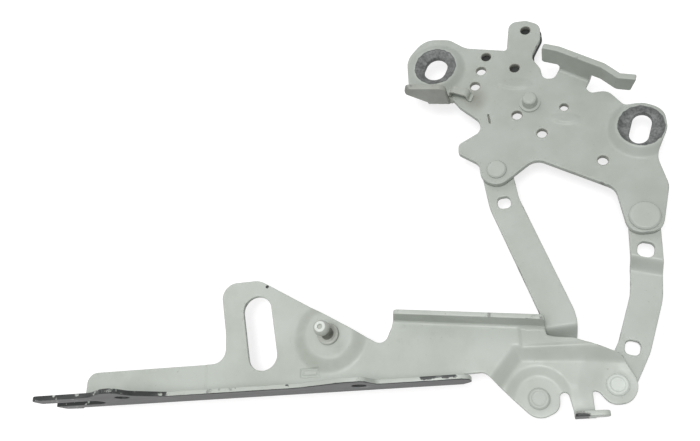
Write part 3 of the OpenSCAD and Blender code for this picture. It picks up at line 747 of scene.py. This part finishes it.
padLow = lowHigh("arm_plate")[0]
arm = dict(
    thick=3.0, grid=1.05, edge=0.5, drop=9.0, stepRun=7.5, webEdge=14.6, webLeft=-296.0, flangeRight=-37.0,
    flangeLeft=-310.0, flangeWide=22.0, bump=-102.0, pad=-249.0, upperHigh=16.0, stopHigh=16.0,
    fingerLong=7.5, fingerHigh=8.0,
    # the last value sets the painted shade on the slope round the stud's dome
    domeAt=studAt - armFront, domeBase=48.0, domeTop=30.0, domeRise=4.0, grimeAndShade=0.30,
    windowAt=(-172.5, 51), windowLean=9.0, windowWide=19.4, windowApart=31.0, rivetHole=8.1,
    # open slot in the tongue: width, closed end, and its middle under the flange's edge
    slotWide=13.0, slotEnd=-276.0, slotUnder=6.0,
    # bonnet bolts: along the flange and up it
    boltHole=9.0, bolts=[(-102.0, 17), (-250.0, 28)],
    # lines that the web falls across: a point and the way down
    steps=[((-8, 30.5), -94.0), ((-18.5, 22), -40.0)],
    # the pad between the pivots stands over the flats round them; flats: middle, inner and outer radius
    midRise=2.6, midFrom=-6.0, midRun=14.0, flats=[((0, 0), 13.7, 19), ((45, 5.5), 8.6, 22)], flatBlend=0.7,
    # slight steps left by the press: where along X, over what run and how deep; the pad's only above low
    tongueStep=dict(x=-208.8, run=1.2, deep=0.7), padStep=dict(x=-7.0, run=1.3, deep=0.8, low=30.0),
    # places where the paint is chipped: middle, half width, times as long as wide
    chips=[(-168.5, 82.1, 1.8, 1.0), (-55, -8.2, 5.0, 3.2), (-145, -12.2, 1.6, 2.5), (-178, -12.2, 1.4, 2.0),
           (-268, -14, 2.2, 4.0), (-240, -13.5, 1.6, 2.5)],
    stamp=dict(low=(-144.6, 19.4), high=(-132.0, 25.6), wall=1.4, side=0.5, deep=0.8, margin=0.8, grid=0.42),
)
# where dark coat shows instead of paint, and on the stop lip a painted shade: bend and edge past the flange's
# bend, tongue, pad and stop along X, outside and stopUnder through the sheet
armCoatAndShade = dict(bendFrom=-6.0, edgeFrom=-2.2, edgeRun=2.4, outsideFrom=0.7, outsideRun=0.3, tongueBend=-4.0,
               tongueFrom=-264.0, tongueRun=28.0, padFrom=-219.0, padRun=5.0, padLevel=0.62, stopUnder=0.1,
               stopUnderRun=0.3, stopFrom=29.6, stopRun=6.0, chipLevel=0.75, chipUnder=0.8)
padTop = padLow + arm["thick"]
webTop = padTop + arm["drop"]
flangeFold = {"from": (arm["flangeRight"], arm["webEdge"]), "to": (arm["webLeft"], arm["webEdge"]),
              "radius": 2.5, "angle": 88.0, "level": webTop, "reach": (-0.5, 400), "straightFrom": 259.3}
upperFold = {"from": (-82.5, 50.3), "to": (7.7, 39.4), "radius": 1.5, "angle": 90.0, "level": webTop,
             "reach": (-5, 97)}
stopFold = {"from": (30.6, -7.5), "to": (18.8, -7.5), "radius": 2.5, "angle": 90.0, "level": padTop,
            "reach": (-12, 14)}
upperLong, upperTop = foldLength(upperFold), arm["upperHigh"] - upperFold["radius"]
stopLong, stopTop = foldLength(stopFold), arm["stopHigh"] - arm["thick"] - stopFold["radius"]
fingerLow, fingerEnd = stopTop - arm["fingerHigh"], -arm["fingerLong"]
eye = armRear - armFront


def onFlange(x, up, r):
    return onFold(flangeFold, arm["flangeRight"] - x, up, r)


flangeLeft, flangeWide, bump, pad = arm["flangeLeft"], arm["flangeWide"], arm["bump"], arm["pad"]
slotEnd, slotHalf = arm["slotEnd"], arm["slotWide"] / 2
slotTop, slotLow = (flangeWide - arm["slotUnder"] + side * slotHalf for side in (1, -1))
armCorners = (
    [(arm["webLeft"], arm["webEdge"], 0.6), (arm["webLeft"], 32.6, 7), (-195.5, 32.6, 9), (-196.5, 52, 40),
     (-202, 87, 10), (-174, 87.3, 14), (-90.3, 36.1, 5.5), (-85, 47.6, 1.5), (-84.2, 50.6, 0.8),
     onFold(upperFold, 1.6, upperTop, 3.5), onFold(upperFold, upperLong, upperTop, 3.0), (8, 39.36, 0.6),
     (8.5, 36, 1.5), (13, 34.6, 4), (24, 33.2, 10)]
    + near(eye, [(4.5, 17, 7), (12.6, -0.8, 10.9), (6.4, -10.75, 10.9), (-5.3, -11, 10.9),
                 (-10.6, -3.4, 2.5)])
    + [(30.6, 3.3, 2.5), onFold(stopFold, 0, fingerLow, 1.0), onFold(stopFold, fingerEnd, fingerLow, 3.6),
       onFold(stopFold, fingerEnd, stopTop, 3.6), onFold(stopFold, stopLong, stopTop, 2.0),
       (*stopFold["to"], 0.6), (17, 3, 2.8), (12.2, 3, 2.5), (11.5, -7.1, 11.2), (-2.2, -12.85, 11.2),
       (-29.5, 15.9, 6), (-41.5, 15.6, 0.8)]
    + [onFlange(*corner) for corner in (
        (-44, -2.4, 2), (-36.6, 6, 6), (-37.4, flangeWide - 4, 8), (bump + 11, flangeWide - 4, 4),
        (bump + 5, flangeWide + 9, 6), (bump - 7, flangeWide + 8.5, 14), (bump - 36, flangeWide, 20),
        (pad + 26, flangeWide, 8), (pad + 7, flangeWide + 12, 8), (pad + 2, flangeWide + 25, 5),
        (pad - 6, flangeWide + 24, 6), (pad - 19, flangeWide + 14, 10), (flangeLeft, flangeWide + 14, 5),
        (flangeLeft + 0.2, slotTop, 2), (slotEnd - 6.6, slotTop, 0.5), (slotEnd + slotHalf, slotTop, 6.4),
        (slotEnd + slotHalf, slotLow, 6.4), (slotEnd - 6.6, slotLow, 0.5), (flangeLeft + 1, slotLow, 2),
        (flangeLeft + 1.5, -2.6, 4), (arm["webLeft"] - 0.9, -4.4, 0.4))]
)


def domeShare(points):
    # the stud's pad, 1 on its top and 0 on the web
    away = np.hypot(*(points - arm["domeAt"]).T)
    return ramped(arm["domeBase"] / 2 - away, (arm["domeBase"] - arm["domeTop"]) / 2)


def armHeight(points):
    # the web falls to its pivots across two lines and takes the higher of both; a dome carries the stud
    fall = np.minimum(*(ramped((points - at) @ turnBy(turn)[0], arm["stepRun"]) for at, turn in arm["steps"]))
    rise = arm["midRise"] * fall * ease((points[:, 1] - arm["midFrom"]) / arm["midRun"])
    for at, inner, outer in arm["flats"]:
        rise = rise * ramped(np.hypot(*(points - at).T) - inner, outer - inner, arm["flatBlend"])
    x, y = points.T
    left, right, stamp = arm["tongueStep"], arm["padStep"], arm["stamp"]
    sunk = left["deep"] * ease((left["x"] - x) / left["run"] + 0.5)
    onPad = (1 - fall) * (y > right["low"])
    sunk = sunk + right["deep"] * ease((x - right["x"]) / right["run"] + 0.5) * onPad
    inset = np.minimum(points - stamp["low"], np.array(stamp["high"]) - points).min(1)
    wall = ease(inset / stamp["side"]) * (1 - ease((inset - stamp["wall"]) / stamp["side"]))
    return arm["domeRise"] * domeShare(points) - arm["drop"] * fall + rise - (sunk + stamp["deep"] * wall)


def armPlace(points, depth):
    deep = -depth * np.ones(len(points))
    result = np.column_stack([points, webTop + armHeight(points) - depth])
    for fold in (flangeFold, upperFold, stopFold):
        taken, folded = foldUp(points, deep, fold)
        result = np.where(taken[:, None], folded, result)
    return result + (*armFront, 0)


# Links, each along X from its bracket pivot and turned into place

strip = dict(thick=4.0, grid=1.0, edge=0.6, drop=9.0, stepRun=6.0, stepSpare=1.5, toolRound=0.37)
frontLink = dict(
    node="front_link", wide=19.8, path=[(0, 0, 0), (22, 1, 30), (108.5, 22, 25), (148.5, 0, 0)], stepAt=108.5,
    toolHoles=[(22, 1, 8.4)], pinHoles=[(0, 5.5), (148.5, 5.5)],
)
rearLink = dict(
    node="rear_link", wide=18.6, path=[(0, 0, 0), (33, 6.8, 30), (46, 8.5, 30), (78.5, 6, 30), (103.5, 0, 0)],
    stepAt=25.0, toolHoles=[(19.5, 3.8, 9.8), (79, 5.2, 8.8)], pinHoles=[(0, 6.1), (103.5, 5.5)],
)


def stripOutline(path, half):
    # the line of the strip, moved half its width to each side and closed by half circles
    line = roundCorners(path, 1.0, closed=False)
    along = unit(np.gradient(line, axis=0))
    side = np.stack([-along[:, 1], along[:, 0]], 1) * half
    turn = onCircle(np.linspace(0, math.pi, 26)[1:-1]) * half
    far = turn[:, :1] * -side[-1] / half + turn[:, 1:] * along[-1]
    back = turn[:, :1] * side[0] / half - turn[:, 1:] * along[0]
    return np.concatenate([line - side, line[-1] + far, (line + side)[::-1], line[0] + back])


def makeLink(link, at, towards, body, material):
    way = unit(np.subtract(towards, at).astype(float))
    turn = np.array([way, (-way[1], way[0])])
    top = lowHigh(link["node"])[1]
    spare = strip["stepSpare"]

    def linkPlace(points, depth):
        fall = strip["drop"] * ease((points[:, 0] - link["stepAt"] + spare / 2) / (strip["stepRun"] + spare))
        return np.column_stack([points @ turn + at, top - fall - depth])

    holes = [circle((x, 0), r) for x, r in link["pinHoles"]]
    holes += [roundedSquare((x, y), side, strip["toolRound"] * side) for x, y, side in link["toolHoles"]]
    points, faces, marks = sheetMesh(stripOutline(link["path"], link["wide"] / 2), holes, linkPlace,
                                     strip["thick"], strip["grid"], strip["edge"])[:3]
    makeObject(link["node"] + "_strip", points, faces, marks, body, "grey_paint", link["node"], material)


# Building

greyPaint = paintedSteel("greyPaint")
# the bracket in its darker paint, a painted shade, and the arm in its lighter paint, a painted light
bracketShadedPaint = paintedSteel("bracketShadedPaint", bracketShadedTone, seats=seatRings)
armLitPaint = paintedSteel("armLitPaint", armLitTone, coatAndShadeOn=True)
doublerCoatAndShade = paintedSteel("doublerCoatAndShade", coatAndShadeOn=True)
washerSteel = turnedMetal("washerSteel", washerMetal)
bushBronze = turnedMetal("bushBronze", bushMetal)
studSteel = paintedSteel("studSteel", studTone)
# the rear arm rivet's head in lighter paint, a painted highlight
headHighlightPaint = paintedSteel("headHighlightPaint", headHighlightTone)
washers = ("front_bracket_washer", "rear_bracket_washer", "front_arm_washer", "rear_arm_washer",
           "stud_washer")
bushes = ("front_upper_bush", "front_lower_bush", "rear_lower_bush")
for material, nodes in ((washerSteel, washers), (bushBronze, bushes), (greyPaint, ("guide_collar",))):
    for node in nodes:
        frame["nodes"][node].data.materials.clear()
        frame["nodes"][node].data.materials.append(material)
print("materials made")

outlineStep, punchCount, slitCount, holeRim = 0.9, 36, 9, 0.7
slit, loopShadow = bracket["slit"], bracket["loopShadow"]
holes = [stadium((0, 0), bracket["frontLean"], bracket["boltHole"], bracket["frontPlay"]),
         stadium(bracket["rearBolt"], bracket["slotLean"], bracket["slotWide"], bracket["slotPlay"]),
         circle(guideAt, bracket["guideHole"] / 2),
         circle(bracket["smallPunchAt"], bracket["smallPunch"] / 2, punchCount),
         circle(frontPivot, bracket["shankHole"] / 2), circle(rearPivot, bracket["shankHole"] / 2),
         stadium(slit["at"], slit["lean"], slit["wide"], slit["apart"], slitCount)]
holes += [circle(at, bracket["punch"] / 2, punchCount) for at in bracket["punches"]]
points, faces, marks, blank = sheetMesh(roundCorners(bracketCorners, outlineStep), holes, bracketPlace,
                                        bracket["thick"], bracket["grid"], bracket["edge"])
punched = np.array(bracket["punches"] + [bracket["smallPunchAt"]])
# the walls of the punched holes get painted shade
inHole = ~farFrom(blank, punched, bracket["punch"] / 2 + holeRim) & (marks["rim"] > 0)
soilAndShade = np.where(isFolded(blank, tabFold), bracket["tabDirt"], np.where(inHole, bracket["holeShade"], 0.0))
# a painted shadow on the plate's top beside the harness loop
away = np.linalg.norm((blank - loopShadow["at"]) / loopShadow["reach"], axis=1)
marks["dirt"] = np.maximum(soilAndShade, loopShadow["level"] * ease(1 - away) * (1 - marks["under"]))
# a sheet closes the slit under the plate's top and is marked in full so it is dark: a painted shade in the
# slit
under = stadium(slit["at"], slit["lean"], slit["wide"] + slit["spare"], slit["apart"], slitCount)
slitShadeFloor = sheetMesh(under, [], flatAt(plateTop - slit["deep"]), 1.0, 0.8, 0.2)[:3]
slitShadeFloor[2]["dirt"] = np.ones(len(slitShadeFloor[0]))
makeObject("bracket_pressing", *joinMeshes([(points, faces, marks), strikeMesh(), slitShadeFloor]), "body_bracket",
           "grey_paint", "bracket_plate", bracketShadedPaint)

points, faces, marks = sheetMesh(roundCorners(doubler["corners"], outlineStep), [], flatAt(plateLow),
                                 doubler["thick"], doubler["grid"], doubler["edge"])[:3]
# dark electrocoat over the whole doubler, which also stands for the shade seen on it through the plate's
# holes: partly a painted shade
marks["coat"] = np.ones(len(points))
makeObject("doubler_pressing", points, faces, marks, "body_bracket", "grey_paint", "doubler_plate",
           doublerCoatAndShade)
points, faces, marks = loopMesh()
marks["dirt"] = np.full(len(points), harnessLoop["dirt"])
makeObject("harness_strip", points, faces, marks, "body_bracket", "grey_paint", "harness_loop", greyPaint)

boltsAt = [onFlange(x, up, 0)[:2] for x, up in arm["bolts"]]
holes = [stadium(arm["windowAt"], arm["windowLean"], arm["windowWide"], arm["windowApart"]),
         circle((0, 0), arm["rivetHole"] / 2), circle(eye, arm["rivetHole"] / 2)]
holes += [circle(at, arm["boltHole"] / 2) for at in boltsAt]
stamp = arm["stamp"]
stampArea = (np.subtract(stamp["low"], stamp["margin"]), np.add(stamp["high"], stamp["margin"]),
             stamp["grid"])
points, faces, marks, blank = sheetMesh(roundCorners(armCorners, outlineStep), holes, armPlace, arm["thick"],
                                        arm["grid"], arm["edge"], fineAreas=[stampArea])
x, under = blank[:, 0], marks["under"]
pastBend = arm["webEdge"] - blank[:, 1] - bendLength(flangeFold)
nowFlange = (x < arm["flangeRight"] + 1) & (pastBend > armCoatAndShade["bendFrom"])
outside = ease((under - armCoatAndShade["outsideFrom"]) / armCoatAndShade["outsideRun"])
flangeCoat = np.where(nowFlange, outside * ease((pastBend - armCoatAndShade["edgeFrom"]) / armCoatAndShade["edgeRun"]), 0)
tongueCoat = np.where(nowFlange & (pastBend > armCoatAndShade["tongueBend"]),
                      ease((armCoatAndShade["tongueFrom"] - x) / armCoatAndShade["tongueRun"]), 0)
padRim = np.where(nowFlange & (marks["rim"] > 0),
                  armCoatAndShade["padLevel"] * ease((armCoatAndShade["padFrom"] - x) / armCoatAndShade["padRun"]), 0)
# the stop lip's outer face is darkened with the coat colours: a painted shade
stopShade = (ease((under - armCoatAndShade["stopUnder"]) / armCoatAndShade["stopUnderRun"])
            * ease((armCoatAndShade["stopFrom"] - x) / armCoatAndShade["stopRun"]))
stopShade = np.where(isFolded(blank, stopFold), stopShade, 0)
inHole = ~farFrom(blank, np.array(boltsAt), arm["boltHole"] / 2 + holeRim) & (marks["rim"] > 0)
# electrocoat on the flange, tongue, pad rim and bolt holes, and painted shade on the stop lip
bare = np.maximum.reduce([flangeCoat, tongueCoat, padRim, stopShade, inHole])
for chipX, chipY, reach, along in arm["chips"]:
    away = np.hypot((x - chipX) / along, blank[:, 1] - chipY)
    chip = armCoatAndShade["chipLevel"] * ease((reach - away) / reach * 2) * (under < armCoatAndShade["chipUnder"])
    bare = np.maximum(bare, chip)
# painted shade on the slope round the stud's dome
slope = domeShare(blank)
marks |= {"coat": bare, "chips": tongueCoat, "dirt": arm["grimeAndShade"] * 4 * slope * (1 - slope)}
makeObject("arm_pressing", points, faces, marks, "bonnet_arm", "grey_paint", "arm_plate", armLitPaint)

makeLink(frontLink, frontPivot, armFront, "front_link", greyPaint)
makeLink(rearLink, rearPivot, armRear, "rear_link", greyPaint)
print("pressings made")

for node, at, body, dish, material in (("front_bracket_rivet", frontPivot, "body_bracket", 0, greyPaint),
                                       ("rear_bracket_rivet", rearPivot, "body_bracket", 0, greyPaint),
                                       ("front_arm_rivet", armFront, "bonnet_arm", 0.35, greyPaint),
                                       ("rear_arm_rivet", armRear, "bonnet_arm", 0.8, headHighlightPaint)):
    points, faces = lathe(at, rivetCurve(node, dish))
    makeObject(node + "_turned", points, faces, {}, body, "grey_paint", node, material)
points, faces = lathe(guideAt, guideCurve())
makeObject("guide_pin", points, faces, {}, "body_bracket", "grey_paint", "guide_rivet", greyPaint)
points, faces = lathe(studAt, studCurve())
height = points[:, 2]
# painted shade in the neck's recess between collar and ball, and a painted highlight on the top flat
neck = np.hypot(*(points[:, :2] - studAt).T) < stud["neck"] + stud["shadeReach"]
neck &= (height > webTop + arm["domeRise"]) & (height < lowHigh("ball_stud")[1] - stud["shadeTop"])
flat = height > height.max() - stud["flatDeep"]
makeObject("ball_pin", points, faces, {"dirt": neck.astype(float), "crown": flat.astype(float)}, "bonnet_arm",
           "stud_steel", "ball_stud", studSteel)
print("rivets made")


def placed(at, x, y, z):
    return Matrix.Translation(at) @ Matrix(np.column_stack([x, y, z]).tolist()).to_4x4()


# Camera, at the photograph's place; its focal length in pixels of a picture so many wide

view = dict(at=(45.4026, -311.3915, 448.4), focal=750, across=700, sensor=36.0, nearest=0.01,
            right=(0.96985933, -0.01296819, -0.24332019), up=(0.10888264, 0.91640485, 0.38515805))
cameraData = bpy.data.cameras.new("camera")
cameraData.lens = view["sensor"] * view["focal"] / view["across"]
cameraData.sensor_width = view["sensor"]
cameraData.clip_start = view["nearest"]
camera = addObject("camera", cameraData)
camera.matrix_world = placed([v * mm for v in view["at"]], view["right"], view["up"],
                             np.cross(view["right"], view["up"]))
bpy.context.scene.camera = camera

# Floor and light

studio = dict(floorHalf=12.0, floorGap=0.0005, floorColour=(0.40, 0.40, 0.40, 1), glow=0.74, worldLevel=0.42,
              white=(1, 1, 1, 1), target=(-0.06, -0.11, 0), upward=(0, 1, 0.01),
              key=dict(at=(-0.14, -0.50, 2.20), size=1.0, power=28.0),
              fill=dict(at=(-0.60, 0.55, 0.9), size=0.8, power=2.0))
half, level = studio["floorHalf"], cadBox[0][2] - studio["floorGap"]
floorMesh = bpy.data.meshes.new("floor")
floorMesh.from_pydata([(x * half, y * half, level) for x, y in squareCorners], [], [(0, 1, 2, 3)])
floor = addObject("floor", floorMesh)
# a grey sheet to the light, which also glows to what looks at it
floorPaper, tree = newMaterial("floorPaper")
rays = addNode(tree, "ShaderNodeLightPath").outputs
seen = maths(tree, "MAXIMUM", maths(tree, "MAXIMUM", rays["Is Camera Ray"], rays["Is Glossy Ray"]),
             rays["Is Transmission Ray"])
paper = addNode(tree, "ShaderNodeBsdfDiffuse", {"Color": studio["floorColour"]})
glow = addNode(tree, "ShaderNodeEmission", {"Color": studio["white"],
                                            "Strength": times(tree, seen, studio["glow"])})
both = addNode(tree, "ShaderNodeAddShader", {0: paper.outputs[0], 1: glow.outputs[0]})
addNode(tree, "ShaderNodeOutputMaterial", {"Surface": both.outputs[0]})
floorMesh.materials.append(floorPaper)

for name in ("key", "fill"):
    lamp = studio[name]
    data = bpy.data.lights.new(name, "AREA")
    data.shape = "DISK"
    data.size = lamp["size"]
    data.energy = lamp["power"]
    away = np.subtract(lamp["at"], studio["target"])
    sideways = unit(np.cross(studio["upward"], away))
    light = addObject(name, data)
    light.matrix_world = placed(lamp["at"], sideways, np.cross(unit(away), sideways), unit(away))
world = bpy.data.worlds.new("studio")
bpy.context.scene.world = world
world.use_nodes = True
sky = world.node_tree.nodes["Background"]
sky.inputs["Color"].default_value = studio["white"]
sky.inputs["Strength"].default_value = studio["worldLevel"]
bpy.context.scene.view_settings.view_transform = "Standard"
print("stage set")
